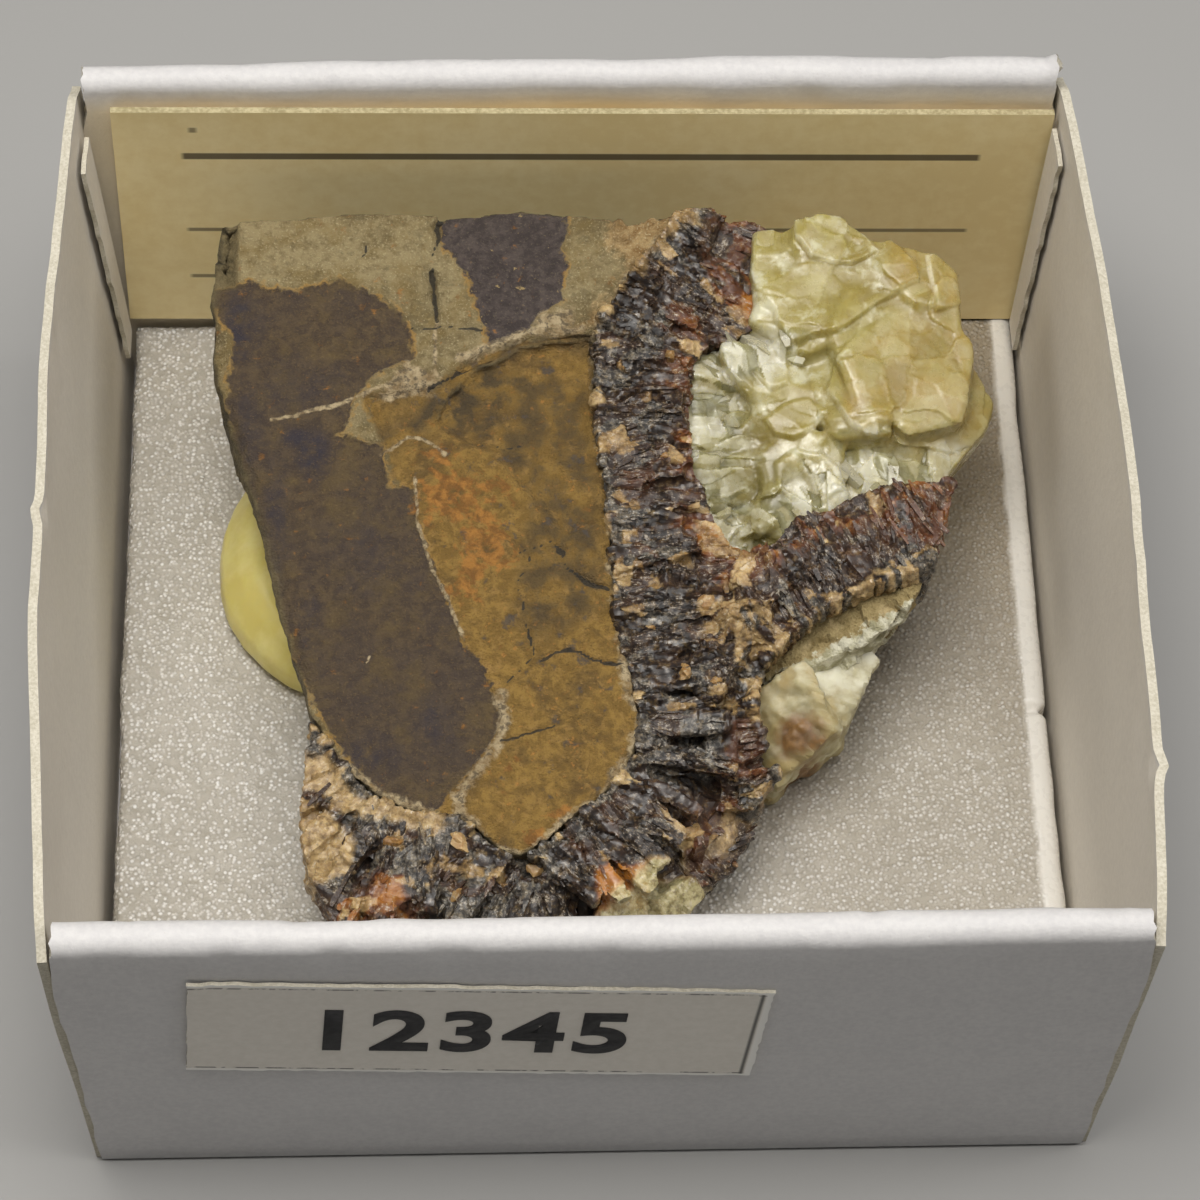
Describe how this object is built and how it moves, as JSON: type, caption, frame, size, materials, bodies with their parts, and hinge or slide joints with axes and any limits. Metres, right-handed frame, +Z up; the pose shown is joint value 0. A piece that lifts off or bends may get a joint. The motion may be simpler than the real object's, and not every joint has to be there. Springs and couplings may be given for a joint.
{
  "type": "septarian nodule in a specimen tray",
  "caption": "Broken piece of septarian nodule, brown and yellow calcite on mudstone, fixed with putty in a small card tray with a foam pad.",
  "frame": {"origin": "middle of the tray's underside, on the surface it stands on", "axes": "+Z up out of the open tray, -Y towards the front wall that carries the number sticker, +X to the right seen from the front"},
  "size_m": [0.0452, 0.0432, 0.0217],
  "materials": {
    "tray": "matte",
    "foam_pad": "satin",
    "putty": "satin",
    "name_label": "matte",
    "number_sticker": "matte",
    "mudstone": "matte",
    "mudstone_rind": "matte",
    "brown_calcite": "gloss",
    "yellow_calcite": "gloss",
    "pale_calcite": "gloss"
  },
  "bodies": {
    "root": {"tray": "tray", "foam_pad": "foam_pad", "putty": "putty", "name_label": "name_label", "number_sticker": "number_sticker", "mudstone": "mudstone", "mudstone_rind": "mudstone_rind", "brown_calcite": "brown_calcite", "yellow_calcite": "yellow_calcite", "pale_calcite": "pale_calcite"}
  },
  "joints": []
}
